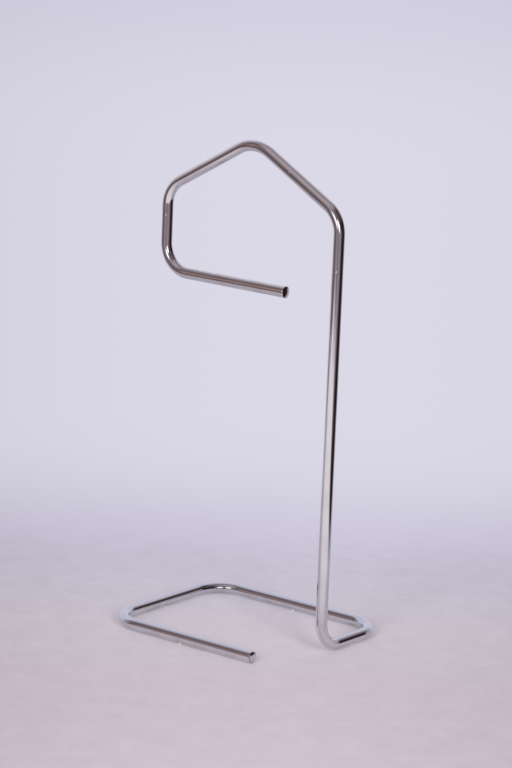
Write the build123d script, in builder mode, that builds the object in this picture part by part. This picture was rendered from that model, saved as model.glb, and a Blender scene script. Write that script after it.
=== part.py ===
"""Valet stand bent from one chrome-plated tube.

The tube starts at a free end on the floor, runs round an open rectangular base, turns up into a
post, goes round a five-sided hanger loop and ends in a level trouser arm.  Plated plugs close its
two ends, four buttons keep it off the floor, and three domed plugs close the plating holes.

Millimetres.  +Z is up, +X runs along the hanger from its free side to the post, and +Y goes from
the front of the stand to its back.  The origin is on the floor under the middle of the base.
"""

from build123d import *
from math import cos, radians, sin, sqrt, tan
import os

# ---- driving dimensions ---------------------------------------------------------------------

# tube stock
tube_d = 25.0
tube_wall = 1.5

# base, between tube centre lines
base_width = 455.0
base_depth = 365.0
front_run = 394.0  # from the left side to the outer face of the end cap
post_setback = 148.0  # post behind the front side

# hanger, heights above the centre line of the base
shoulder_height = 920.0
peak_height = 1050.0
arm_drop = 177.0  # arm below the shoulders
arm_run = 327.0  # from the free side to the outer face of the end cap

# centre-line radii of the bends
corner_bend = 74.0
foot_bend = 58.0
shoulder_bend = 64.0
peak_bend = 84.0
arm_bend = 60.0

# end caps
cap_head = 4.0
cap_dome = 2.4
cap_edge = 0.8
cap_shank = 14.0
cap_lead = 1.5
cap_recess_d = 15.0
cap_web = 3.0

# floor glides
glide_d = 10.0
glide_height = 2.0  # from the floor to the tube
glide_edge = 0.6
glide_pin_d = 5.0
glide_pin_length = 6.0
glide_barb = 0.35
back_glide_shift = -10.0  # off the middle of the back side

# plating-hole plugs on the hanger
plug_d = 4.6
plug_dome = 0.9
plug_pin_d = 3.2
plug_pin_length = 5.0
plug_turn = 22.0  # degrees round the tube, away from straight ahead
post_plug_gap = 75.0  # down the post from its shoulder bend
slope_plug_gap = 111.0  # up the slope from the same bend
drop_plug_gap = 20.0  # down the free side from its shoulder bend

fit_clearance = 0.05  # radial, pins and shanks in their holes

# ---- what follows from them -----------------------------------------------------------------

tube_r = tube_d / 2
bore_r = tube_r - tube_wall
side_x = base_width / 2
side_y = base_depth / 2
floor_to_axis = glide_height + tube_r
post_y = post_setback - side_y
arm_height = shoulder_height - arm_drop

base_start = Vector(front_run - cap_head - side_x, -side_y, floor_to_axis)
front_left = Vector(-side_x, -side_y, floor_to_axis)
back_left = Vector(-side_x, side_y, floor_to_axis)
back_right = Vector(side_x, side_y, floor_to_axis)
post_foot = Vector(side_x, post_y, floor_to_axis)
post_top = Vector(side_x, post_y, floor_to_axis + shoulder_height)
peak = Vector(0, post_y, floor_to_axis + peak_height)
free_shoulder = Vector(-side_x, post_y, floor_to_axis + shoulder_height)
free_drop = Vector(-side_x, post_y, floor_to_axis + arm_height)
arm_end = Vector(arm_run - cap_head - side_x, post_y, floor_to_axis + arm_height)

route = [
    base_start,
    front_left,
    back_left,
    back_right,
    post_foot,
    post_top,
    peak,
    free_shoulder,
    free_drop,
    arm_end,
]
bends = [
    corner_bend,
    corner_bend,
    corner_bend,
    foot_bend,
    shoulder_bend,
    peak_bend,
    shoulder_bend,
    arm_bend,
]

# where each glide meets the tube: its name, a point on the tube's centre line, the tube's direction
glide_seats = [
    ("front", Vector(front_run / 2 - side_x, -side_y, floor_to_axis), Vector(1, 0, 0)),
    ("left", Vector(-side_x, 0, floor_to_axis), Vector(0, 1, 0)),
    ("back", Vector(back_glide_shift, side_y, floor_to_axis), Vector(1, 0, 0)),
    ("right", Vector(side_x, (post_y + side_y) / 2, floor_to_axis), Vector(0, 1, 0)),
]

# where each plug sits: its name, a point on the centre line, and the way it faces.  All three face
# the front, turned round the tube by plug_turn: towards the post side on the two uprights, and
# upwards on the slope.
ahead = Vector(0, -1, 0)
down = Vector(0, 0, -1)
slope_along = (peak - post_top).normalized()
slope_up = Vector(slope_along.Z, 0, -slope_along.X)

# a shoulder bend takes this much of each run that it joins, from their corner
shoulder_turn = (-down).get_angle(slope_along)
shoulder_length = shoulder_bend * tan(radians(shoulder_turn / 2))


def turned(side):
    """Direction that faces ahead, turned by plug_turn towards side."""
    return ahead * cos(radians(plug_turn)) + side * sin(radians(plug_turn))


post_seat = post_top + down * (shoulder_length + post_plug_gap)
slope_seat = post_top + slope_along * (shoulder_length + slope_plug_gap)
drop_seat = free_shoulder + down * (shoulder_length + drop_plug_gap)
plug_seats = [
    ("post", post_seat, turned(Vector(1, 0, 0)), down),
    ("slope", slope_seat, turned(slope_up), slope_along),
    ("drop", drop_seat, turned(Vector(1, 0, 0)), down),
]


# ---- the bent tube --------------------------------------------------------------------------

# One length of tube, bent round formers: straight runs joined by tangent arcs.
with BuildPart() as frame_tube:
    with BuildLine() as centre_line:
        FilletPolyline(*route, radius=bends)
    with BuildSketch(Plane(origin=base_start, z_dir=front_left - base_start)):
        Circle(tube_r)
        Circle(bore_r, mode=Mode.SUBTRACT)
    sweep(path=centre_line.line)
    # glide holes, drilled up through the lower wall only
    for _, seat, _ in glide_seats:
        with BuildSketch(Plane(origin=seat, z_dir=(0, 0, -1))):
            Circle(glide_pin_d / 2)
        extrude(amount=tube_d, mode=Mode.SUBTRACT)
    # plating holes, through the front wall of the hanger only
    for _, seat, facing, _ in plug_seats:
        with BuildSketch(Plane(origin=seat, z_dir=facing)):
            Circle(plug_pin_d / 2)
        extrude(amount=tube_d, mode=Mode.SUBTRACT)


# ---- end caps -------------------------------------------------------------------------------


def make_end_cap(label, seat, outward):
    """Turned plug: a domed head as wide as the tube and a cupped shank in its bore.

    seat is the middle of the tube's cut end and outward the way the end faces.
    """
    shank_r = bore_r - fit_clearance
    face_r = tube_r - cap_edge
    face_y = cap_head - cap_dome
    dome_r = (face_r**2 + cap_dome**2) / (2 * cap_dome)
    radial = Vector(0, 0, 1)
    with BuildPart() as cap:
        # half section: x is the distance from the axis, y the distance out from the tube's end
        with BuildSketch(Plane(origin=seat, x_dir=radial, z_dir=radial.cross(outward))):
            with BuildLine():
                Polyline((shank_r, 0), (tube_r, 0), (tube_r, face_y - cap_edge))
                TangentArc((tube_r, face_y - cap_edge), (face_r, face_y), tangent=(0, 1))
                RadiusArc((face_r, face_y), (0, cap_head), -dome_r)
                Polyline(
                    (0, cap_head),
                    (0, cap_head - cap_web),
                    (cap_recess_d / 2, cap_head - cap_web),
                    (cap_recess_d / 2, -cap_shank),
                    (shank_r - cap_lead / 2, -cap_shank),
                    (shank_r, cap_lead - cap_shank),
                    (shank_r, 0),
                )
            make_face()
        revolve(axis=Axis(seat, outward))
    cap.part.label = label
    return cap.part


base_end_cap = make_end_cap("base_end_cap", base_start, Vector(1, 0, 0))
arm_end_cap = make_end_cap("arm_end_cap", arm_end, Vector(1, 0, 0))


# ---- floor glides ---------------------------------------------------------------------------


def make_floor_glide(label, seat, along):
    """Moulded button: a flat foot saddled to the tube, and a barbed pin through its lower wall."""
    pin_r = glide_pin_d / 2 - fit_clearance
    barb_r = pin_r + glide_barb
    pin_top = seat.Z - tube_r + glide_pin_length
    # the barb's rim just clears the curved inside of the wall
    barb_start = seat.Z - sqrt(bore_r**2 - barb_r**2) + fit_clearance
    with BuildPart() as glide:
        with BuildSketch(Plane(origin=(seat.X, seat.Y, 0))):
            Circle(glide_d / 2)
        extrude(amount=seat.Z)
        chamfer(glide.edges().group_by(Axis.Z)[0], length=glide_edge)
        with BuildSketch(Plane(origin=seat, z_dir=along)):
            Circle(tube_r)
        extrude(amount=glide_d, both=True, mode=Mode.SUBTRACT)
        with BuildSketch(Plane(origin=(seat.X, seat.Y, glide_height / 2))):
            Circle(pin_r)
        extrude(amount=barb_start - glide_height / 2)
        with BuildSketch(Plane(origin=(seat.X, seat.Y, barb_start))):
            Circle(barb_r)
        with BuildSketch(Plane(origin=(seat.X, seat.Y, pin_top))):
            Circle(pin_r - glide_barb * 2)
        loft()
    glide.part.label = label
    return glide.part


floor_glides = [make_floor_glide(f"floor_glide_{name}", seat, along) for name, seat, along in glide_seats]


# ---- plating-hole plugs ---------------------------------------------------------------------


def make_vent_plug(label, seat, facing, along):
    """Small domed plug: its head follows the tube, and its pin fills the plating hole."""
    head_r = plug_d / 2
    pin_r = plug_pin_d / 2 - fit_clearance
    dome_r = (head_r**2 + plug_dome**2) / (2 * plug_dome)
    dome_centre = seat + facing * (tube_r + plug_dome - dome_r)
    with BuildPart() as plug:
        with BuildSketch(Plane(origin=seat, z_dir=facing)):
            Circle(head_r)
        extrude(amount=tube_r + plug_dome)
        dome = Solid.make_sphere(dome_r, Plane(dome_centre))
        add(dome, mode=Mode.INTERSECT)
        with BuildSketch(Plane(origin=seat, z_dir=along)):
            Circle(tube_r)
        extrude(amount=plug_d, both=True, mode=Mode.SUBTRACT)
        with BuildSketch(Plane(origin=seat + facing * (tube_r - plug_pin_length), z_dir=facing)):
            Circle(pin_r)
        extrude(amount=plug_pin_length + plug_dome / 2)
    plug.part.label = label
    return plug.part


vent_plugs = [make_vent_plug(f"vent_plug_{name}", *seat) for name, *seat in plug_seats]


# ---- write one file per piece ---------------------------------------------------------------

frame_tube.part.label = "frame_tube"
os.makedirs("parts", exist_ok=True)
for piece in [frame_tube.part, base_end_cap, arm_end_cap, *floor_glides, *vent_plugs]:
    export_step(piece, f"parts/{piece.label}.step")
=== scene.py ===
from math import asin, cos, pi, radians, sin, sqrt

import bmesh
import bpy
import numpy as np
from mathutils import Euler, Matrix, Quaternion, Vector


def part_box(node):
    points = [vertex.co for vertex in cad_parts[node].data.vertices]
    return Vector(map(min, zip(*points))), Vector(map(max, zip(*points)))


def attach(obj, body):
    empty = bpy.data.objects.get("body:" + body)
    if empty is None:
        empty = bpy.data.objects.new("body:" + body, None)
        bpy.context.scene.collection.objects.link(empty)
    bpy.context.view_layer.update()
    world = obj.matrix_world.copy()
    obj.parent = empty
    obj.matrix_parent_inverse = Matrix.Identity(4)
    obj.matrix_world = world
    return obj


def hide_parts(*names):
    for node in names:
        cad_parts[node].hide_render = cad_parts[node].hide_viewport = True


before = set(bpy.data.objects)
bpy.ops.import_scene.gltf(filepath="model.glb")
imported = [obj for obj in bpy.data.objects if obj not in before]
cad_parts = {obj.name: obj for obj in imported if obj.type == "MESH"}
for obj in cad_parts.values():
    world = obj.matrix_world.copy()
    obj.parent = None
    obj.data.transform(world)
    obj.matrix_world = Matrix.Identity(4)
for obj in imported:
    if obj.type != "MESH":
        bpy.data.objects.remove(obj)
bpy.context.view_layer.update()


# ---- bent tube ------------------------------------------------------------------------------
# The whole stand is one length of thin-walled steel tube: an open rectangle on the floor, a post,
# a five-sided hanger and a level trouser arm.  It is bent round formers, polished along its
# length, then nickel and chrome plated in one piece.

tube_low, tube_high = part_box("frame_tube")
base_cap_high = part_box("base_end_cap")[1]
arm_cap_low, arm_cap_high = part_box("arm_end_cap")

tube_r = (arm_cap_high.z - arm_cap_low.z) / 2
tube_wall = 0.0015
end_break = 0.0004  # the cut ends' outer edge, broken with a file
cap_head = 0.0040  # how far an end cap stands out of its tube end

corner_bend = 0.074
foot_bend = 0.058
shoulder_bend = 0.064
peak_bend = 0.084
arm_bend = 0.060
shoulder_drop = 0.130  # shoulders below the peak, corner to corner
bend_flattening = 0.018  # share of the radius that a bend loses in its own plane

chrome_clean = (0.650, 0.643, 0.650, 1)
chrome_hazed = (0.600, 0.588, 0.590, 1)
# painted reflection: faces that look up near the floor take this darker bluish grey
bluish_reflection_grey = (0.545, 0.560, 0.605, 1)
stain_brown = (0.300, 0.235, 0.180, 1)
pit_brown = (0.100, 0.065, 0.045, 1)
# the darker brown of the ring between a cap's rolled edge and its dome
rim_ring_brown = (0.160, 0.130, 0.120, 1)
# heights above the floor where the stain and the painted bluish reflection fade out: from, to
stain_fade = (0.002, 0.030)
bluish_reflection_fade = (0.03, 0.25)

side_x = tube_high.x - tube_r
side_y = -tube_low.y - tube_r
base_z = tube_low.z + tube_r
post_y = (arm_cap_low.y + arm_cap_high.y) / 2
arm_z = (arm_cap_low.z + arm_cap_high.z) / 2
half_peak_turn = np.arctan2(shoulder_drop, side_x)
peak_z = tube_high.z - tube_r + peak_bend * (1 / cos(half_peak_turn) - 1)
shoulder_z = peak_z - shoulder_drop
base_end = (base_cap_high.x - cap_head, -side_y, base_z)
arm_end = (arm_cap_high.x - cap_head, post_y, arm_z)

tube_corners = np.array([
    base_end,
    (-side_x, -side_y, base_z),
    (-side_x, side_y, base_z),
    (side_x, side_y, base_z),
    (side_x, post_y, base_z),
    (side_x, post_y, shoulder_z),
    (0, post_y, peak_z),
    (-side_x, post_y, shoulder_z),
    (-side_x, post_y, arm_z),
    arm_end,
])
tube_bends = np.array([
    corner_bend,
    corner_bend,
    corner_bend,
    foot_bend,
    shoulder_bend,
    peak_bend,
    shoulder_bend,
    arm_bend,
])


def turned_about(vector, axis, angle):
    """vector turned about a unit axis: its part along the axis stays, and the rest turns."""
    held = axis * (vector @ axis)
    return held + (vector - held) * np.cos(angle) + np.cross(axis, vector) * np.sin(angle)


def bent_route(corners, bends, run_step, turn_step):
    """Centre line of a bent tube, and the directions that its section is drawn in.

    A bend is the arc of its radius that both runs touch, so it takes radius * tan(turn / 2) off
    each run.  The section turns with each arc about the arc's axis and never twists.  Returns rows
    of points, tangents, across directions, outsides of the bends, and how deep in a bend each
    point is: 0 at both ends of an arc and on the runs, 1 in the middle of an arc.
    """
    runs = np.diff(corners, axis=0)
    lengths = np.linalg.norm(runs, axis=1)
    ways = runs / lengths[:, None]
    turns = np.arccos(np.sum(ways[:-1] * ways[1:], axis=1))
    taken = np.concatenate([[0], bends * np.tan(turns / 2), [0]])
    across = np.cross(ways[0], (0, 0, 1))
    stretches = []
    for k, way in enumerate(ways):
        start = corners[k] + way * taken[k]
        straight = lengths[k] - taken[k] - taken[k + 1]
        last = k == len(bends)
        share = np.linspace(0, 1, int(straight / run_step) + 2, endpoint=last)[:, None]
        whole = np.ones_like(share)
        stretches.append((
            start + way * straight * share,
            way * whole,
            across * whole,
            way * 0 * whole,
            0 * whole,
        ))
        if last:
            break
        axis = np.cross(way, ways[k + 1])
        axis /= np.linalg.norm(axis)
        inward = np.cross(axis, way)
        share = np.linspace(0, 1, int(turns[k] / turn_step) + 2, endpoint=False)[:, None]
        angle = turns[k] * share
        outside = way * np.sin(angle) - inward * np.cos(angle)
        stretches.append((
            start + way * straight + bends[k] * (inward + outside),
            way * np.cos(angle) + inward * np.sin(angle),
            turned_about(across, axis, angle),
            outside,
            1 - (2 * share - 1) ** 4,
        ))
        across = turned_about(across, axis, turns[k])
    return [np.concatenate(column) for column in zip(*stretches)]


def ring_skin(name, rings, looped=False):
    """Closed skin over rings of points, shaped rings by points by xyz.

    Quads join neighbouring rings, and each ring closes on itself.  A looped skin's last ring joins
    its first; otherwise the first and last rings lie on the axis and are merged into poles.  The
    UV map holds the share of the way round, and the distance over the rings in tube girths.
    """
    ring_count, point_count = rings.shape[:2]
    closed = np.concatenate([rings, rings[:1]]) if looped else rings
    steps = np.linalg.norm(np.diff(closed[:, 0], axis=0), axis=1)
    distance = np.concatenate([[0], np.cumsum(steps)]) / (2 * pi * tube_r)
    row, column = np.meshgrid(np.arange(len(closed) - 1), np.arange(point_count), indexing="ij")
    rows = np.stack([row, row, row + 1, row + 1], axis=-1)
    columns = np.stack([column, column + 1, column + 1, column], axis=-1)
    quads = (rows % ring_count) * point_count + columns % point_count
    uv = np.stack([columns / point_count, distance[rows]], axis=-1)
    mesh = bpy.data.meshes.new(name)
    mesh.from_pydata(rings.reshape(-1, 3).tolist(), [], quads.reshape(-1, 4).tolist())
    mesh.uv_layers.new(name="round_and_along").data.foreach_set("uv", uv.astype(np.float32).ravel())
    merging = bmesh.new()
    merging.from_mesh(mesh)
    bmesh.ops.remove_doubles(merging, verts=merging.verts, dist=1e-7)
    merging.to_mesh(mesh)
    merging.free()
    mesh.shade_smooth()
    mesh.set_sharp_from_angle(angle=radians(38))
    piece = bpy.data.objects.new(name, mesh)
    bpy.context.scene.collection.objects.link(piece)
    return piece


def tube_rings(column_count=96):
    """Rings of the outer skin from end to end, and back through the bore.

    A ring point stands one radius from the centre line, less the flattening times the square of
    the cosine of its angle from the bend's plane.  The end rings are drawn in by the filed break.
    """
    points, tangents, across, outside, depth = bent_route(
        tube_corners, tube_bends, run_step=0.030, turn_step=radians(2.5)
    )
    up = np.cross(tangents, across)
    angle = (2 * pi * np.arange(column_count) / column_count)[None, :, None]
    spoke = across[:, None] * np.cos(angle) + up[:, None] * np.sin(angle)
    lean = np.einsum("rcx,rx->rc", spoke, outside)
    radius = (tube_r * (1 - bend_flattening * depth * lean**2))[..., None]
    outer = points[:, None] + spoke * radius
    bore = (points[:, None] + spoke * (radius - tube_wall))[::-1]
    first_face = (points[0] + spoke[0] * (tube_r - end_break))[None]
    last_face = (points[-1] + spoke[-1] * (tube_r - end_break))[None]
    outer[0] += tangents[0] * end_break
    outer[-1] -= tangents[-1] * end_break
    return np.concatenate([first_face, outer, last_face, bore[:-1:3], bore[-1:]])


def node(tree, kind, inputs=None, **settings):
    """New shader node with these settings; its inputs are values, or sockets to link from."""
    made = tree.nodes.new(kind)
    for key, value in settings.items():
        setattr(made, key, value)
    for key, value in (inputs or {}).items():
        if isinstance(value, bpy.types.NodeSocket):
            tree.links.new(value, made.inputs[key])
        else:
            made.inputs[key].default_value = value
    return made


def calc(tree, operation, *values):
    """One sum on values that vary over the surface."""
    return node(tree, "ShaderNodeMath", dict(enumerate(values)), operation=operation).outputs[0]


def rise(tree, source, low, high):
    """0 where source is below low, 1 above high, and a smooth rise between."""
    ends = {"Value": source, "From Min": low, "From Max": high}
    return node(tree, "ShaderNodeMapRange", ends, interpolation_type="SMOOTHSTEP").outputs[0]


def fall(tree, source, low, high):
    """1 where source is below low, 0 above high, and a smooth fall between."""
    return calc(tree, "SUBTRACT", 1.0, rise(tree, source, low, high))


def blend(tree, share, first, second):
    """Colour between two colours: the first where share is 0, the second where it is 1."""
    colours = {"Factor": share, 6: first, 7: second}
    return node(tree, "ShaderNodeMix", colours, data_type="RGBA").outputs[2]


def blank_material(name):
    """New material with an empty node tree."""
    made = bpy.data.materials.new(name)
    made.use_nodes = True
    made.node_tree.nodes.clear()
    return made, made.node_tree


def plating_wear_group():
    """What years of use leave on bright plating: masks of scratches, haze and pits, and a height.

    Scratches are the crests of noise stretched along the polish, and the edges of large random
    cells, both broken up by broad noise.  Haze is broad soft noise.  Pits are small random cells,
    few of them, and only in the haze.
    """
    group = bpy.data.node_groups.new("plating_wear", "ShaderNodeTree")
    sockets = group.interface.new_socket
    sockets("Round and along", in_out="INPUT", socket_type="NodeSocketVector")
    sockets("Place", in_out="INPUT", socket_type="NodeSocketVector")
    sockets("Lines round", in_out="INPUT", socket_type="NodeSocketFloat")
    sockets("Lines along", in_out="INPUT", socket_type="NodeSocketFloat")
    for name in ("Scratch", "Haze", "Pit", "Height"):
        sockets(name, in_out="OUTPUT", socket_type="NodeSocketFloat")
    given = node(group, "NodeGroupInput").outputs

    # the share of the way round is bent into a circle, so that the noise has no seam
    shares = node(group, "ShaderNodeSeparateXYZ", {0: given["Round and along"]}).outputs
    turn = calc(group, "MULTIPLY", shares["X"], 2 * pi)
    polish_place = node(
        group,
        "ShaderNodeCombineXYZ",
        {
            "X": calc(group, "MULTIPLY", calc(group, "COSINE", turn), given["Lines round"]),
            "Y": calc(group, "MULTIPLY", calc(group, "SINE", turn), given["Lines round"]),
            "Z": calc(group, "MULTIPLY", shares["Y"], given["Lines along"]),
        },
    ).outputs[0]
    lines = node(
        group,
        "ShaderNodeTexNoise",
        {"Vector": polish_place, "Scale": 1.0, "Detail": 3.0, "Roughness": 0.7},
    ).outputs["Fac"]
    broad = node(
        group, "ShaderNodeTexNoise", {"Vector": given["Place"], "Scale": 38.0, "Detail": 2.0}
    ).outputs["Fac"]
    rubs = calc(group, "MULTIPLY", rise(group, lines, 0.60, 0.74), rise(group, broad, 0.42, 0.62))
    edges = node(
        group,
        "ShaderNodeTexVoronoi",
        {"Vector": given["Place"], "Scale": 120.0},
        feature="DISTANCE_TO_EDGE",
    ).outputs["Distance"]
    strays = calc(
        group, "MULTIPLY", fall(group, edges, 0.004, 0.016), rise(group, broad, 0.56, 0.70)
    )
    scratch = calc(group, "MAXIMUM", rubs, strays)

    clouds = node(
        group,
        "ShaderNodeTexNoise",
        {"Vector": given["Place"], "Scale": 22.0, "Detail": 4.0, "Roughness": 0.6},
    ).outputs["Fac"]
    haze = rise(group, clouds, 0.40, 0.72)
    cells = node(group, "ShaderNodeTexVoronoi", {"Vector": given["Place"], "Scale": 420.0}).outputs
    draw = node(group, "ShaderNodeSeparateColor", {"Color": cells["Color"]}).outputs["Red"]
    specks = calc(
        group,
        "MULTIPLY",
        fall(group, cells["Distance"], 0.10, 0.24),
        rise(group, draw, 0.90, 0.97),
    )
    pit = calc(group, "MULTIPLY", specks, haze)

    ripple = node(
        group, "ShaderNodeTexNoise", {"Vector": given["Place"], "Scale": 150.0, "Detail": 1.0}
    ).outputs["Fac"]
    cut = calc(group, "MULTIPLY_ADD", scratch, -0.35, calc(group, "MULTIPLY", ripple, 0.6))
    height = calc(group, "SUBTRACT", cut, pit)

    made = node(group, "NodeGroupOutput")
    for name, source in (("Scratch", scratch), ("Haze", haze), ("Pit", pit), ("Height", height)):
        group.links.new(source, made.inputs[name])
    return group


plating_wear = plating_wear_group()


def chrome_material(name, lines_round, lines_along, scratch_roughness, low_stain, rim_darkening=0.0):
    """Bright chrome: wiped haze, scratches along the polish, pin pits, and stain near the floor.

    The last argument sets how far the ring between a cap's rolled edge and its dome is darkened to
    brown.
    """
    made, tree = blank_material(name)
    place = node(tree, "ShaderNodeTexCoord").outputs
    wear = node(
        tree,
        "ShaderNodeGroup",
        {
            "Round and along": place["UV"],
            "Place": place["Object"],
            "Lines round": lines_round,
            "Lines along": lines_along,
        },
        node_tree=plating_wear,
    ).outputs
    above_floor = node(tree, "ShaderNodeSeparateXYZ", {0: place["Object"]}).outputs["Z"]
    near_floor = fall(tree, above_floor, *stain_fade)
    stain = calc(tree, "MULTIPLY", calc(tree, "MULTIPLY", near_floor, wear["Haze"]), low_stain)
    plate = blend(tree, wear["Haze"], chrome_clean, chrome_hazed)
    # painted reflection: faces that look up, low over the floor, are tinted towards a darker bluish
    # grey that stands for the bluish light they mirror
    facing_up = node(tree, "ShaderNodeSeparateXYZ", {0: place["Normal"]}).outputs["Z"]
    bluish_reflection = calc(
        tree, "MULTIPLY", fall(tree, above_floor, *bluish_reflection_fade), rise(tree, facing_up, -0.5, 0.5)
    )
    reflection_tinted = blend(tree, bluish_reflection, plate, bluish_reflection_grey)
    stained = blend(tree, stain, reflection_tinted, stain_brown)
    pitted = blend(tree, wear["Pit"], stained, pit_brown)
    if rim_darkening:
        # the ring lies this far along the cap's profile, in tube girths
        along = node(tree, "ShaderNodeSeparateXYZ", {0: place["UV"]}).outputs["Y"]
        at_rim = calc(
            tree, "MULTIPLY", rise(tree, along, 0.538, 0.546), fall(tree, along, 0.556, 0.566)
        )
        # the ring between the rolled edge and the dome is darkened towards brown
        ring_share = calc(tree, "MULTIPLY", at_rim, rim_darkening)
        pitted = blend(tree, ring_share, pitted, rim_ring_brown)
    hazed = calc(tree, "MULTIPLY_ADD", wear["Haze"], 0.035, 0.030)
    scratched = calc(tree, "MULTIPLY_ADD", wear["Scratch"], scratch_roughness, hazed)
    rough = calc(tree, "MULTIPLY_ADD", wear["Pit"], 0.45, scratched)
    bump = node(
        tree, "ShaderNodeBump", {"Height": wear["Height"], "Strength": 0.35, "Distance": 0.00004}
    ).outputs["Normal"]
    shader = node(
        tree,
        "ShaderNodeBsdfPrincipled",
        {"Base Color": pitted, "Metallic": 1.0, "Roughness": rough, "Normal": bump},
    )
    node(tree, "ShaderNodeOutputMaterial", {"Surface": shader.outputs["BSDF"]})
    return made


bent_tube = ring_skin("bent_tube", tube_rings(), looped=True)
tube_chrome = chrome_material(
    "tube_chrome", lines_round=14.0, lines_along=2.5, scratch_roughness=0.10, low_stain=0.35
)
bent_tube.data.materials.append(tube_chrome)
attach(bent_tube, "root")
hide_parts("frame_tube")


# ---- end caps -------------------------------------------------------------------------------
# A turned steel plug closes each cut end: a domed head as wide as the tube, with a rolled edge,
# on a cupped shank driven into the bore.  The lathe's rings still show under the chrome.

cap_dome = 0.0024
cap_edge = 0.0008
cap_under_break = 0.0003
cap_shank = 0.0140
cap_lead = 0.0015
cap_recess_r = 0.0075
cap_web = 0.0030
shank_r = tube_r - tube_wall - 0.00005


def arc(centre, radius, start, end, count):
    """Points of an arc in the profile's plane: the centre plus the radius at each angle."""
    angle = np.linspace(start, end, count)
    spokes = radius * np.stack([np.cos(angle), np.sin(angle)], axis=1)
    return np.array(centre) + spokes


def revolved(profile, foot, outward, start, column_count):
    """Rings of a turned piece: each profile point (radius, distance out) carried round the axis.

    The axis leaves foot in the outward direction, and each ring's first point lies towards start.
    """
    angle = 2 * pi * np.arange(column_count) / column_count
    spoke = np.outer(np.cos(angle), start) + np.outer(np.sin(angle), np.cross(outward, start))
    radius, out = profile.T[:, :, None, None]
    return foot + spoke * radius + np.asarray(outward) * out


def cap_profile():
    """Half section of a cap, from the middle of its recess, round the head, to its middle."""
    face_r = tube_r - cap_edge
    face_y = cap_head - cap_dome
    dome_r = (face_r**2 + cap_dome**2) / (2 * cap_dome)
    return np.concatenate([
        [(0, cap_head - cap_web), (cap_recess_r, cap_head - cap_web), (cap_recess_r, -cap_shank)],
        [(shank_r - cap_lead / 2, -cap_shank), (shank_r, cap_lead - cap_shank), (shank_r, 0)],
        [(tube_r - cap_under_break, 0), (tube_r, cap_under_break)],
        arc((face_r, face_y - cap_edge), cap_edge, 0, pi / 2, 12),
        arc((0, cap_head - dome_r), dome_r, pi / 2 - asin(face_r / dome_r), pi / 2, 16)[1:],
    ])


along_x = (1.0, 0.0, 0.0)
along_y = (0.0, 1.0, 0.0)
along_z = (0.0, 0.0, 1.0)

cap_chrome = chrome_material(
    "cap_chrome",
    lines_round=0.6,
    lines_along=110.0,
    scratch_roughness=0.16,
    low_stain=0.15,
    rim_darkening=0.8,
)
for cap_name, cap_node, foot in (
    ("base_end_plug", "base_end_cap", base_end),
    ("arm_end_plug", "arm_end_cap", arm_end),
):
    cap = ring_skin(cap_name, revolved(cap_profile(), foot, along_x, along_z, 96))
    cap.data.materials.append(cap_chrome)
    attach(cap, "root")
    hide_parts(cap_node)


# ---- floor glides ---------------------------------------------------------------------------
# Four moulded nylon buttons keep the plating off the floor.  Each has a flat foot, a saddle that
# fits the underside of the tube, and a barbed pin pressed through a hole in the lower wall.

glide_r = 0.0050
glide_edge = 0.0006
glide_pin_r = 0.00245
glide_pin_length = 0.0060
glide_barb = 0.00035
gate_r = 0.0008  # mark of the mould's gate, in the middle of the foot
gate_depth = 0.00025
nylon_dull = (0.620, 0.606, 0.570, 1)
nylon_fresh = (0.700, 0.688, 0.656, 1)
grime_brown = (0.360, 0.330, 0.300, 1)
grime_top = 0.0014


def glide_rings(foot, tube_way):
    """Rings of a glide, from the middle of its foot to the tip of its pin.

    The saddle lies under the tube: below the tube's axis by the root of the tube's radius squared
    less the square of the distance sideways from that axis.
    """
    barb_z = base_z - sqrt((tube_r - tube_wall) ** 2 - (glide_pin_r + glide_barb) ** 2)
    tip_z = base_z - tube_r + glide_pin_length
    below = np.concatenate([
        [(0, gate_depth), (gate_r * 0.7, gate_depth), (gate_r, 0), (glide_r - glide_edge, 0)],
        arc((glide_r - glide_edge, glide_edge), glide_edge, -pi / 2, 0, 7)[1:],
    ])
    saddle = np.stack([np.linspace(glide_r, glide_pin_r, 6), np.zeros(6)], axis=1)
    pin = [
        (glide_pin_r, barb_z),
        (glide_pin_r + glide_barb, barb_z),
        (glide_pin_r - glide_barb * 2, tip_z),
        (0, tip_z),
    ]
    rings = revolved(np.concatenate([below, saddle, pin]), foot, along_z, tube_way, 64)
    on_saddle = slice(len(below), len(below) + len(saddle))
    sideways = (rings[on_saddle] - foot) @ np.cross(tube_way, along_z)
    rings[on_saddle, :, 2] = base_z - np.sqrt(tube_r**2 - sideways**2)
    return rings


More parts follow.
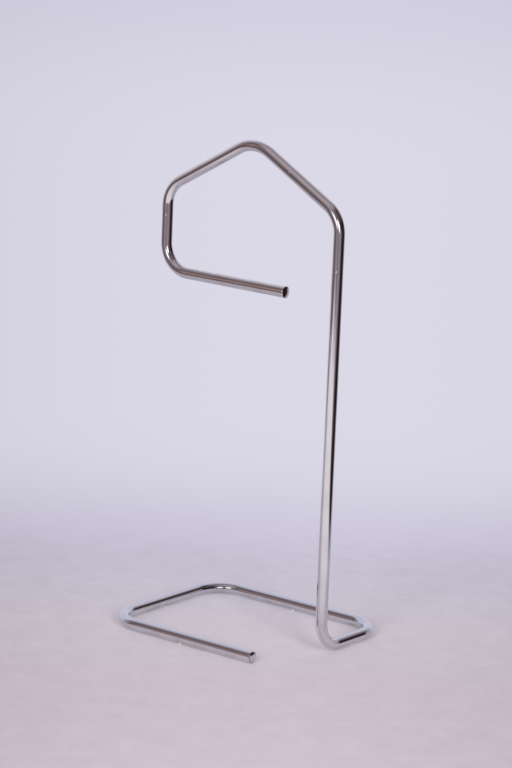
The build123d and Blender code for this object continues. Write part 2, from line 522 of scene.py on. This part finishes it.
def glide_material():
    """Off-white nylon: cloudy moulding, rubbed lines on the foot, and floor grime low down."""
    made, tree = blank_material("glide_nylon")
    place = node(tree, "ShaderNodeTexCoord").outputs["Object"]
    above_floor = node(tree, "ShaderNodeSeparateXYZ", {0: place}).outputs["Z"]
    clouds = node(
        tree, "ShaderNodeTexNoise", {"Vector": place, "Scale": 260.0, "Detail": 4.0}
    ).outputs["Fac"]
    stretched = node(
        tree, "ShaderNodeVectorMath", {0: place, 1: (2600.0, 300.0, 2600.0)}, operation="MULTIPLY"
    ).outputs[0]
    lines = node(
        tree, "ShaderNodeTexNoise", {"Vector": stretched, "Scale": 1.0, "Detail": 2.0}
    ).outputs["Fac"]
    rubbed = rise(tree, lines, 0.56, 0.70)
    grime = calc(
        tree, "MULTIPLY", fall(tree, above_floor, 0.0, grime_top), rise(tree, clouds, 0.35, 0.70)
    )
    nylon = blend(tree, clouds, nylon_dull, nylon_fresh)
    colour = blend(tree, grime, nylon, grime_brown)
    rough = calc(tree, "MULTIPLY_ADD", rubbed, 0.18, 0.42)
    texture = calc(tree, "MULTIPLY_ADD", rubbed, -0.8, clouds)
    bump = node(
        tree, "ShaderNodeBump", {"Height": texture, "Strength": 0.4, "Distance": 0.00005}
    ).outputs["Normal"]
    shader = node(
        tree, "ShaderNodeBsdfPrincipled", {"Base Color": colour, "Roughness": rough, "Normal": bump}
    )
    node(tree, "ShaderNodeOutputMaterial", {"Surface": shader.outputs["BSDF"]})
    return made


glide_nylon = glide_material()
for side, tube_way in (
    ("front", along_x),
    ("left", along_y),
    ("back", along_x),
    ("right", along_y),
):
    low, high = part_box(f"floor_glide_{side}")
    foot = ((low.x + high.x) / 2, (low.y + high.y) / 2, low.z)
    glide = ring_skin(f"glide_{side}", glide_rings(foot, tube_way))
    glide.data.materials.append(glide_nylon)
    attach(glide, "root")
    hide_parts(f"floor_glide_{side}")


# ---- plating-hole plugs ---------------------------------------------------------------------
# Small domed rivets close the holes that let the plating bath run out of the hanger.  Their heads
# sit on the front of the tube, and their pins are driven through its wall.

plug_r = 0.0023
plug_dome = 0.0009
plug_pin_r = 0.00155
plug_pin_length = 0.0050
plug_sink = 0.00003  # the head's skirt below the plating, so that no gap shows
plug_turn = radians(22)  # round the tube, away from straight ahead


def plug_rings(seat, facing, tube_way):
    """Rings of a plug, from the inner end of its pin to the top of its dome.

    The underside of the head lies on the tube: out from the tube's axis by the root of the tube's
    radius squared less the square of the distance sideways from that axis.
    """
    top = tube_r + plug_dome
    dome_r = (plug_r**2 + plug_dome**2) / (2 * plug_dome)
    pin_end = tube_r - plug_pin_length
    profile = np.concatenate([
        [(0, pin_end), (plug_pin_r, pin_end), (plug_pin_r, 0), (plug_r, 0)],
        arc((0, top - dome_r), dome_r, pi / 2 - asin(plug_r / dome_r), pi / 2, 12),
    ])
    rings = revolved(profile, seat, facing, tube_way, 48)
    on_tube = slice(2, 4)
    sideways = (rings[on_tube] - seat) @ np.cross(tube_way, facing)
    rings[on_tube] += facing * (np.sqrt(tube_r**2 - sideways**2) - plug_sink)[..., None]
    return rings


slope_way = (tube_corners[6] - tube_corners[5]) / np.linalg.norm(tube_corners[6] - tube_corners[5])
slope_up = np.cross(slope_way, along_y)
for place_name, tube_way, turned_to in (
    ("post", along_z, along_x),
    ("slope", slope_way, slope_up),
    ("drop", along_z, along_x),
):
    low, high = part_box(f"vent_plug_{place_name}")
    facing = -np.array(along_y) * cos(plug_turn) + np.array(turned_to) * sin(plug_turn)
    # the middle of the node's box lies half-way along the plug, which stands square on the axis
    half_way = tube_r - (plug_pin_length - plug_dome) / 2
    seat = np.array((low + high) / 2) - facing * half_way
    plug = ring_skin(f"plug_{place_name}", plug_rings(seat, facing, np.array(tube_way)))
    plug.data.materials.append(cap_chrome)
    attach(plug, "root")
    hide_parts(f"vent_plug_{place_name}")


# ---- paper floor ----------------------------------------------------------------------------
# A roll of pale paper lies under the stand and out towards the camera.  The camera sees it plain
# and softly shaded; the plating also mirrors its bright front and its edges.

camera_turn = radians(37.85)  # round the stand from straight ahead, towards the post's side
camera_way = Vector((sin(camera_turn), -cos(camera_turn), 0))
right_way = Vector((cos(camera_turn), sin(camera_turn), 0))
camera_distance = 6.771

paper_left, paper_right = -2.25, 1.10
paper_front, paper_back = 3.30, -1.45
paper_slant = 0.12  # how much further left the left edge lies for each metre towards the camera
# how far the plating's picture of each edge is smeared: outwards and inwards
left_smear = (0.35, 0.30)
right_smear = (0.20, 0.28)
front_smear = (0.80, 0.85)

# where the stops of the paper's whites may lie, along the way towards the camera
stops_start = -2.0
stops_reach = 4.0

# the paper's white for the camera: distance towards the camera and colour
near_whites = [
    (-1.90, (0.709, 0.693, 0.798)),
    (-1.53, (0.695, 0.682, 0.785)),
    (-1.35, (0.683, 0.667, 0.780)),
    (-1.19, (0.664, 0.645, 0.763)),
    (-1.04, (0.645, 0.632, 0.748)),
    (-0.89, (0.620, 0.614, 0.724)),
    (-0.72, (0.579, 0.577, 0.682)),
    (-0.52, (0.527, 0.523, 0.612)),
    (-0.30, (0.517, 0.509, 0.588)),
    (-0.05, (0.508, 0.485, 0.533)),
    (0.30, (0.477, 0.440, 0.474)),
    (0.90, (0.408, 0.369, 0.406)),
]
haze_white = (0.709, 0.693, 0.798, 1)  # what lies far off
horizon_white = (0.624, 0.610, 0.737, 1)

# the front of the paper as the plating mirrors it: distance towards the camera and colour
front_whites = [
    (0.10, (0.600, 0.545, 0.605)),
    (0.40, (0.830, 0.760, 0.840)),
    (0.70, (0.950, 0.880, 0.960)),
    (1.50, (1.030, 0.955, 1.030)),
    (2.00, (1.060, 0.985, 1.060)),
]
corner_dimming = 0.26  # of that front, in its left corner

# distances towards the camera over which one look of the paper passes into the next: from, to
near_stand = (-1.2, -0.4)
bright_line_shift = (-1.2, 0.6)
dimming_end = (1.0, 2.2)
lit_from = (-1.35, -0.60)
lit_to = (1.2, 3.0)
haze_in_front = (0.9, 1.5)
horizon = (-15.0, -6.0)
mirrored_front = (0.10, 0.60)
left_corner_end = (0.60, 1.50)
left_corner_side = (-2.00, -0.70)  # to the camera's right

# the line where the paper is brightest: its angle off the camera's line in front of the stand,
# and how much wider that angle is behind it
bright_line_angle = 0.006
bright_line_rise = 0.014
side_dimming = 11.0  # near the stand, times the square of the angle off the bright line
far_side_dimming = 6.0
dimmest = 0.7
mottle_scale = 14.0
mottle_depth = 0.22
mirrored_sheen = 0.24
sheen_off_tube = 0.05  # full sheen this far from the tube's centre line
sheen_reach = (0.25, 0.45)  # from the stand's middle

# share of the paper's light that comes from the whole room and casts no shadow
room_share = 0.40
mirrored_room_share = 0.40
paper_albedo = 0.95
mirrored_albedo = 0.93


def studio_skin(name, grid):
    """Open sheet over a grid of points, rows by columns by xyz, with quads between neighbours."""
    row_count, column_count = grid.shape[:2]
    row, column = np.meshgrid(np.arange(row_count - 1), np.arange(column_count - 1), indexing="ij")
    first = row * column_count + column
    quads = np.stack([first, first + 1, first + column_count + 1, first + column_count], axis=-1)
    mesh = bpy.data.meshes.new(name)
    mesh.from_pydata(grid.reshape(-1, 3).tolist(), [], quads.reshape(-1, 4).tolist())
    mesh.shade_smooth()
    sheet = bpy.data.objects.new(name, mesh)
    bpy.context.scene.collection.objects.link(sheet)
    return sheet


def studio_place(right, toward, height):
    """World points from distances to the camera's right, towards the camera, and up."""
    right, toward, height = np.broadcast_arrays(right, toward, height)
    return (
        right[..., None] * np.array(right_way)
        + toward[..., None] * np.array(camera_way)
        + height[..., None] * np.array(along_z)
    )


def through_stops(tree, share, stops, interpolation="LINEAR"):
    """Colour that runs through stops of position and colour as share goes from 0 to 1."""
    ramp = node(tree, "ShaderNodeValToRGB", {0: share})
    ramp.color_ramp.interpolation = interpolation
    elements = ramp.color_ramp.elements
    for k, (position, colour) in enumerate(stops):
        element = elements[k] if k < 2 else elements.new(position)
        element.position = position
        element.color = (*colour, 1)
    return ramp.outputs["Color"]


def paper_white(tree, toward, stops, interpolation):
    """White of the paper from stops of distance towards the camera and colour."""
    share = calc(tree, "MULTIPLY_ADD", toward, 1 / stops_reach, -stops_start / stops_reach)
    positions = [((distance - stops_start) / stops_reach, colour) for distance, colour in stops]
    return through_stops(tree, share, positions, interpolation)


def paper_light(tree, place, rightward, toward, to_camera):
    """How much of its white each place on the paper shows.

    The lamps shine from beside the camera, so for the camera the paper dims with the square of
    the angle off its bright line.  Noise mottles it near the stand.  Low over the floor, as the
    base's plating sees it, the paper has a sheen, but not close to the tube.
    """
    off_line = calc(tree, "DIVIDE", rightward, calc(tree, "SUBTRACT", camera_distance, toward))
    behind = fall(tree, toward, *bright_line_shift)
    bright_line = calc(tree, "MULTIPLY_ADD", behind, bright_line_rise, bright_line_angle)
    off_bright = calc(tree, "POWER", calc(tree, "SUBTRACT", off_line, bright_line), 2.0)
    nearness = rise(tree, toward, *near_stand)
    less_far = far_side_dimming - side_dimming
    by_side = calc(tree, "MULTIPLY_ADD", nearness, less_far, -far_side_dimming)
    for_camera = calc(tree, "MULTIPLY", to_camera, fall(tree, toward, *dimming_end))
    dimming = calc(tree, "MULTIPLY", for_camera, by_side)
    shaded = calc(tree, "MULTIPLY_ADD", off_bright, dimming, 1.0)
    shaded = calc(tree, "MAXIMUM", shaded, dimmest)

    mottle = node(
        tree,
        "ShaderNodeTexNoise",
        {"Vector": place, "Scale": mottle_scale, "Detail": 4.0, "Roughness": 0.8},
    ).outputs["Fac"]
    mottled = calc(tree, "MULTIPLY", nearness, calc(tree, "SUBTRACT", mottle, 0.5))
    shaded = calc(tree, "MULTIPLY_ADD", mottled, mottle_depth, shaded)

    on_floor = node(tree, "ShaderNodeSeparateXYZ", {0: place}).outputs
    past_side = calc(tree, "SUBTRACT", calc(tree, "ABSOLUTE", on_floor["X"]), side_x)
    past_front = calc(tree, "SUBTRACT", calc(tree, "ABSOLUTE", on_floor["Y"]), side_y)
    from_tube = calc(tree, "ABSOLUTE", calc(tree, "MAXIMUM", past_side, past_front))
    from_middle = node(
        tree, "ShaderNodeVectorMath", {0: place}, operation="LENGTH"
    ).outputs["Value"]
    sheen = calc(
        tree,
        "MULTIPLY",
        rise(tree, from_tube, 0.0, sheen_off_tube),
        fall(tree, from_middle, *sheen_reach),
    )
    off_camera = calc(tree, "SUBTRACT", 1.0, to_camera)
    sheen_share = calc(tree, "MULTIPLY", sheen, off_camera)
    return calc(tree, "MULTIPLY_ADD", sheen_share, mirrored_sheen, shaded)


def scaled(tree, colour, factor):
    """Colour times a factor."""
    sockets = {0: colour, "Scale": factor}
    return node(tree, "ShaderNodeVectorMath", sockets, operation="SCALE").outputs[0]


def lit_paper(tree, white, glow_share, albedo):
    """The paper's own shaded white, and a glow that stands for the light of the whole room."""
    shaded = node(tree, "ShaderNodeBsdfDiffuse", {"Color": scaled(tree, white, albedo)}).outputs[0]
    glow = node(tree, "ShaderNodeEmission", {"Color": white, "Strength": glow_share}).outputs[0]
    return node(tree, "ShaderNodeAddShader", {0: shaded, 1: glow}).outputs[0]


def paper_for_camera(tree, toward, near_white, light, near_paper):
    """Lit paper round the stand, and plain white paper far off, darker towards the horizon."""
    behind_white = blend(tree, fall(tree, toward, *horizon), near_white, horizon_white)
    far_white = blend(tree, rise(tree, toward, *haze_in_front), behind_white, haze_white)
    far_paper = node(tree, "ShaderNodeEmission", {"Color": far_white, "Strength": light}).outputs[0]
    far_share = calc(
        tree, "MAXIMUM", fall(tree, toward, *lit_from), rise(tree, toward, *lit_to)
    )
    return node(
        tree, "ShaderNodeMixShader", {0: far_share, 1: near_paper, 2: far_paper}
    ).outputs[0]


def paper_for_plating(tree, rightward, toward, near_paper):
    """Lit paper round the stand, its bright front, and nothing past its smeared edges."""
    beside = calc(tree, "MULTIPLY_ADD", toward, paper_slant, rightward)
    left_corner = calc(
        tree,
        "MULTIPLY",
        fall(tree, beside, *left_corner_side),
        fall(tree, toward, *left_corner_end),
    )
    front_light = calc(tree, "MULTIPLY_ADD", left_corner, -corner_dimming, 1.0)
    front_white = paper_white(tree, toward, front_whites, "LINEAR")
    front_paper = node(
        tree, "ShaderNodeEmission", {"Color": front_white, "Strength": front_light}
    ).outputs[0]
    front_share = rise(tree, toward, *mirrored_front)
    paper = node(
        tree, "ShaderNodeMixShader", {0: front_share, 1: near_paper, 2: front_paper}
    ).outputs[0]
    on_width = calc(
        tree,
        "MULTIPLY",
        rise(tree, beside, paper_left - left_smear[0], paper_left + left_smear[1]),
        fall(tree, rightward, paper_right - right_smear[1], paper_right + right_smear[0]),
    )
    on_length = calc(
        tree,
        "MULTIPLY",
        calc(tree, "GREATER_THAN", toward, paper_back),
        fall(tree, toward, paper_front - front_smear[1], paper_front + front_smear[0]),
    )
    on_paper = calc(tree, "MULTIPLY", on_width, on_length)
    clear = node(tree, "ShaderNodeBsdfTransparent").outputs[0]
    return node(tree, "ShaderNodeMixShader", {0: on_paper, 1: clear, 2: paper}).outputs[0]


def floor_material():
    """Pale paper: one picture of it for the camera, and one for the plating and the light."""
    made, tree = blank_material("pale_paper")
    place = node(tree, "ShaderNodeNewGeometry").outputs["Position"]
    rightward = node(
        tree, "ShaderNodeVectorMath", {0: place, 1: right_way}, operation="DOT_PRODUCT"
    ).outputs["Value"]
    toward = node(
        tree, "ShaderNodeVectorMath", {0: place, 1: camera_way}, operation="DOT_PRODUCT"
    ).outputs["Value"]
    to_camera = node(tree, "ShaderNodeLightPath").outputs["Is Camera Ray"]
    light = paper_light(tree, place, rightward, toward, to_camera)
    near_white = paper_white(tree, toward, near_whites, "B_SPLINE")
    lit = scaled(tree, near_white, light)
    seen = paper_for_camera(
        tree, toward, near_white, light, lit_paper(tree, lit, room_share, paper_albedo)
    )
    mirrored = paper_for_plating(
        tree, rightward, toward, lit_paper(tree, lit, mirrored_room_share, mirrored_albedo)
    )
    shown = node(tree, "ShaderNodeMixShader", {0: to_camera, 1: mirrored, 2: seen}).outputs[0]
    node(tree, "ShaderNodeOutputMaterial", {"Surface": shown})
    # only the softboxes are sampled as lamps, which keeps grain out of the shade
    made.cycles.emission_sampling = "NONE"
    return made


# rings of paper out to the horizon
reach = np.concatenate([[0.0], np.geomspace(0.5, 400.0, 14)])[:, None]
round_angle = np.linspace(0, 2 * pi, 65)[None]
floor = studio_skin(
    "paper_floor", studio_place(reach * np.cos(round_angle), reach * np.sin(round_angle), 0 * reach)
)
floor.data.materials.append(floor_material())


# ---- paper wall and curled edges ------------------------------------------------------------
# Behind the stand the paper curves up a wall, and its two side edges curl up beside the stand.
# Only the plating shows them: they are clear to the camera and leave no light or shadow.

paper_curve = 0.45
wall_left, wall_right = -3.00, 1.30
wall_top = 2.90
wall_light = 1.04  # near its top, in shares of the far white
low_wall_gain = 0.13
wall_fade = (1.6, 2.6)  # heights over which the gain fades out


def leave_to_plating(sheet):
    """Makes a sheet show in mirrors only."""
    sheet.visible_camera = False
    sheet.visible_diffuse = False
    sheet.visible_shadow = False


def wall_material():
    """Lit paper, a little brighter low down than near its top."""
    made, tree = blank_material("lit_paper")
    place = node(tree, "ShaderNodeNewGeometry").outputs["Position"]
    height = node(tree, "ShaderNodeSeparateXYZ", {0: place}).outputs["Z"]
    low_down = fall(tree, height, *wall_fade)
    light = calc(tree, "MULTIPLY_ADD", low_down, low_wall_gain, wall_light)
    glow = node(tree, "ShaderNodeEmission", {"Color": haze_white, "Strength": light}).outputs[0]
    node(tree, "ShaderNodeOutputMaterial", {"Surface": glow})
    made.cycles.emission_sampling = "NONE"
    return made


def glow_material(name, colour, strength, spot=None, sampling="NONE"):
    """Light from the side that a sheet faces, all over it or in a round spot with a soft rim.

    Where it gives off no light, the sheet is clear.
    """
    made, tree = blank_material(name)
    glow = node(tree, "ShaderNodeEmission", {"Color": colour, "Strength": strength}).outputs[0]
    geometry = node(tree, "ShaderNodeNewGeometry").outputs
    share = calc(tree, "SUBTRACT", 1.0, geometry["Backfacing"])
    if spot:
        middle, core_r, rim_r = spot
        off_middle = node(
            tree,
            "ShaderNodeVectorMath",
            {0: geometry["Position"], 1: middle},
            operation="DISTANCE",
        ).outputs["Value"]
        share = calc(tree, "MULTIPLY", share, fall(tree, off_middle, core_r, rim_r))
    clear = node(tree, "ShaderNodeBsdfTransparent").outputs[0]
    mixed = node(tree, "ShaderNodeMixShader", {0: share, 1: clear, 2: glow}).outputs[0]
    node(tree, "ShaderNodeOutputMaterial", {"Surface": mixed})
    made.cycles.emission_sampling = sampling
    return made


curve_angle = np.linspace(0, pi / 2, 9)
wall_toward = np.concatenate([paper_back + paper_curve * (1 - np.sin(curve_angle)), [paper_back]])
wall_height = np.concatenate([paper_curve * (1 - np.cos(curve_angle)), [wall_top]])
wall_ends = np.array([wall_left, wall_right])[None]
wall = studio_skin(
    "paper_wall", studio_place(wall_ends, wall_toward[:, None], wall_height[:, None])
)
wall.data.materials.append(wall_material())
leave_to_plating(wall)

# each lip's place to the camera's right, its two ends towards the camera, and its height
lip_paper = glow_material("lip_paper", (0.58, 0.52, 0.55, 1), 1.0)
for name, right, ends, lip_height in (
    ("paper_left_lip", paper_left, (0.95, 0.25), 0.18),
    ("paper_right_lip", paper_right, (-0.75, -0.22), 0.28),
):
    lip_rows = np.array([0.0, lip_height])[:, None]
    lip = studio_skin(name, studio_place(np.array(right), np.array(ends)[None], lip_rows))
    lip.data.materials.append(lip_paper)
    leave_to_plating(lip)


# ---- lamps ----------------------------------------------------------------------------------
# A softbox on each side of the camera lights the stand and the floor.  The plating doesn't show
# it, but shows a lamp's front instead: a larger sheet with a bright middle and a soft rim.

softbox_width, softbox_height = 1.05, 1.60
softbox_radiance = 16.0
front_size = 2.30
front_core_r, front_rim_r = 0.40, 1.10
front_radiance = 2.3


def upright_sheet(name, middle, width, height, material):
    """Upright sheet that faces the stand, out of the camera's sight."""
    facing = -middle / np.linalg.norm(middle[:2])
    facing[2] = 0.0
    across = np.array([-0.5, 0.5])[None, :, None] * width * np.cross(along_z, facing)
    upright = np.array([-0.5, 0.5])[:, None, None] * height * np.array(along_z)
    sheet = studio_skin(name, middle + across + upright)
    sheet.data.materials.append(material)
    sheet.visible_camera = False
    return sheet


# each lamp's place to the camera's right, towards the camera, and the height of its middle
softbox_glow = glow_material(
    "softbox_glow", (1.0, 0.985, 0.990, 1), softbox_radiance, sampling="AUTO"
)
for name, right, toward, height in (
    ("softbox_right", 1.23, 3.12, 1.60),
    ("softbox_left", -1.11, 3.20, 1.60),
):
    middle = studio_place(right, toward, height)
    softbox = upright_sheet(name, middle, softbox_width, softbox_height, softbox_glow)
    softbox.visible_glossy = False

for name, right, toward, height in (
    ("lamp_front_right", 0.50, 3.20, 1.60),
    ("lamp_front_left", -1.60, 3.10, 1.70),
):
    middle = studio_place(right, toward, height)
    spot = (middle, front_core_r, front_rim_r)
    front_glow = glow_material(f"{name}_glow", (0.93, 0.95, 1.0, 1), front_radiance, spot)
    leave_to_plating(upright_sheet(name, middle, front_size, front_size, front_glow))


# ---- room -----------------------------------------------------------------------------------
# Past the paper is a dim room for the plating to mirror, with dark corners and pale walls.  Its
# colours run round the stand by heading: behind it, then its left, its front and its right.

near_floor_colours = [
    (-180, (0.90, 0.84, 0.90)),
    (-120, (0.80, 0.74, 0.82)),
    (-85, (0.66, 0.62, 0.68)),
    (-72, (0.40, 0.36, 0.41)),
    (-60, (0.25, 0.215, 0.245)),
    (-48, (0.18, 0.140, 0.155)),
    (-38, (0.17, 0.115, 0.125)),
    (-28, (0.22, 0.18, 0.205)),
    (-12, (0.33, 0.27, 0.31)),
    (8, (0.37, 0.31, 0.345)),
    (28, (0.27, 0.22, 0.25)),
    (52, (0.40, 0.34, 0.37)),
    (70, (0.32, 0.28, 0.31)),
    (88, (0.06, 0.04, 0.05)),
    (112, (0.025, 0.012, 0.018)),
    (134, (0.020, 0.010, 0.014)),
    (147, (0.17, 0.14, 0.16)),
    (158, (0.46, 0.41, 0.46)),
    (168, (0.76, 0.70, 0.76)),
]
eye_level_colours = [
    (-180, (0.66, 0.62, 0.68)),
    (-85, (0.64, 0.59, 0.65)),
    (-73, (0.56, 0.50, 0.54)),
    (-62, (0.43, 0.37, 0.39)),
    (-51, (0.27, 0.205, 0.215)),
    (-45, (0.19, 0.130, 0.125)),
    (-38, (0.47, 0.325, 0.315)),
    (-33, (0.23, 0.165, 0.165)),
    (-24, (0.17, 0.135, 0.15)),
    (-12, (0.27, 0.22, 0.235)),
    (10, (0.22, 0.18, 0.20)),
    (36, (0.10, 0.075, 0.09)),
    (75, (0.05, 0.035, 0.04)),
    (132, (0.02, 0.010, 0.012)),
    (150, (0.06, 0.03, 0.03)),
    (166, (0.54, 0.49, 0.54)),
    (180, (0.66, 0.62, 0.68)),
]
overhead_colours = [
    (-180, (0.68, 0.62, 0.68)),
    (-122, (0.74, 0.69, 0.76)),
    (-106, (0.66, 0.61, 0.67)),
    (-92, (0.55, 0.49, 0.53)),
    (-78, (0.46, 0.40, 0.43)),
    (-66, (0.31, 0.255, 0.275)),
    (-54, (0.19, 0.145, 0.15)),
    (-46, (0.25, 0.185, 0.185)),
    (-40, (0.21, 0.16, 0.17)),
    (-24, (0.36, 0.29, 0.31)),
    (-9, (0.54, 0.44, 0.47)),
    (8, (0.50, 0.42, 0.45)),
    (32, (0.30, 0.25, 0.27)),
    (75, (0.10, 0.08, 0.08)),
    (150, (0.12, 0.08, 0.08)),
    (168, (0.50, 0.44, 0.48)),
]
# the ceiling's, from over the front of the stand to over its back
ceiling_colours = [
    (0.20, (0.53, 0.44, 0.47)),
    (0.31, (0.64, 0.54, 0.58)),
    (0.41, (0.47, 0.39, 0.43)),
    (0.56, (0.33, 0.28, 0.32)),
    (0.67, (0.39, 0.35, 0.40)),
    (0.78, (0.58, 0.53, 0.59)),
]
# sines of the height angle over which one band passes into the next: from, to
eye_level_start = (0.00, 0.15)
overhead_start = (0.34, 0.52)
ceiling_start = (0.80, 0.93)


def room_world():
    """Room's colours by heading, in three bands blended by height, under the ceiling's."""
    made = bpy.data.worlds.new("room")
    made.use_nodes = True
    tree = made.node_tree
    tree.nodes.clear()
    place = node(tree, "ShaderNodeTexCoord").outputs["Generated"]
    direction = node(tree, "ShaderNodeSeparateXYZ", {0: place}).outputs
    forward = calc(tree, "MULTIPLY", direction["Y"], -1.0)
    heading = calc(tree, "ARCTAN2", direction["X"], forward)
    heading_share = calc(tree, "MULTIPLY_ADD", heading, 1 / (2 * pi), 0.5)
    near_floor, eye_level, overhead = (
        through_stops(tree, heading_share, [(turn / 360 + 0.5, colour) for turn, colour in colours])
        for colours in (near_floor_colours, eye_level_colours, overhead_colours)
    )
    rising = direction["Z"]
    low_walls = blend(tree, rise(tree, rising, *eye_level_start), near_floor, eye_level)
    walls = blend(tree, rise(tree, rising, *overhead_start), low_walls, overhead)
    back_share = calc(tree, "MULTIPLY_ADD", direction["Y"], 0.5, 0.5)
    ceiling = through_stops(tree, back_share, ceiling_colours)
    room = blend(tree, rise(tree, rising, *ceiling_start), walls, ceiling)
    to_camera = node(tree, "ShaderNodeLightPath").outputs["Is Camera Ray"]
    shown = blend(tree, to_camera, room, haze_white)
    background = node(tree, "ShaderNodeBackground", {"Color": shown, "Strength": 1.0}).outputs[0]
    node(tree, "ShaderNodeOutputWorld", {"Surface": background})
    return made


bpy.context.scene.world = room_world()


# ---- camera ---------------------------------------------------------------------------------
# A long lens from well back, at twice the stand's height and turned down on it.  It is rolled a
# little, as a camera held by hand is.

camera_height = 2.0925
camera_tilt = radians(12.91)
camera_roll = radians(2.345)
camera_pan = radians(0.0112)  # how far the camera looks to the right of the stand's middle
camera_lens = 154.2

camera = bpy.data.objects.new("camera", bpy.data.cameras.new("camera"))
bpy.context.scene.collection.objects.link(camera)
camera.data.lens = camera_lens
camera.data.clip_end = 1000.0
look = Euler((pi / 2 - camera_tilt, 0, camera_turn - camera_pan)).to_quaternion()
camera.matrix_world = Matrix.LocRotScale(
    camera_way * camera_distance + Vector((0, 0, camera_height)),
    look @ Quaternion((0, 0, 1), camera_roll),
    None,
)
bpy.context.scene.camera = camera
bpy.context.scene.view_settings.view_transform = "Standard"
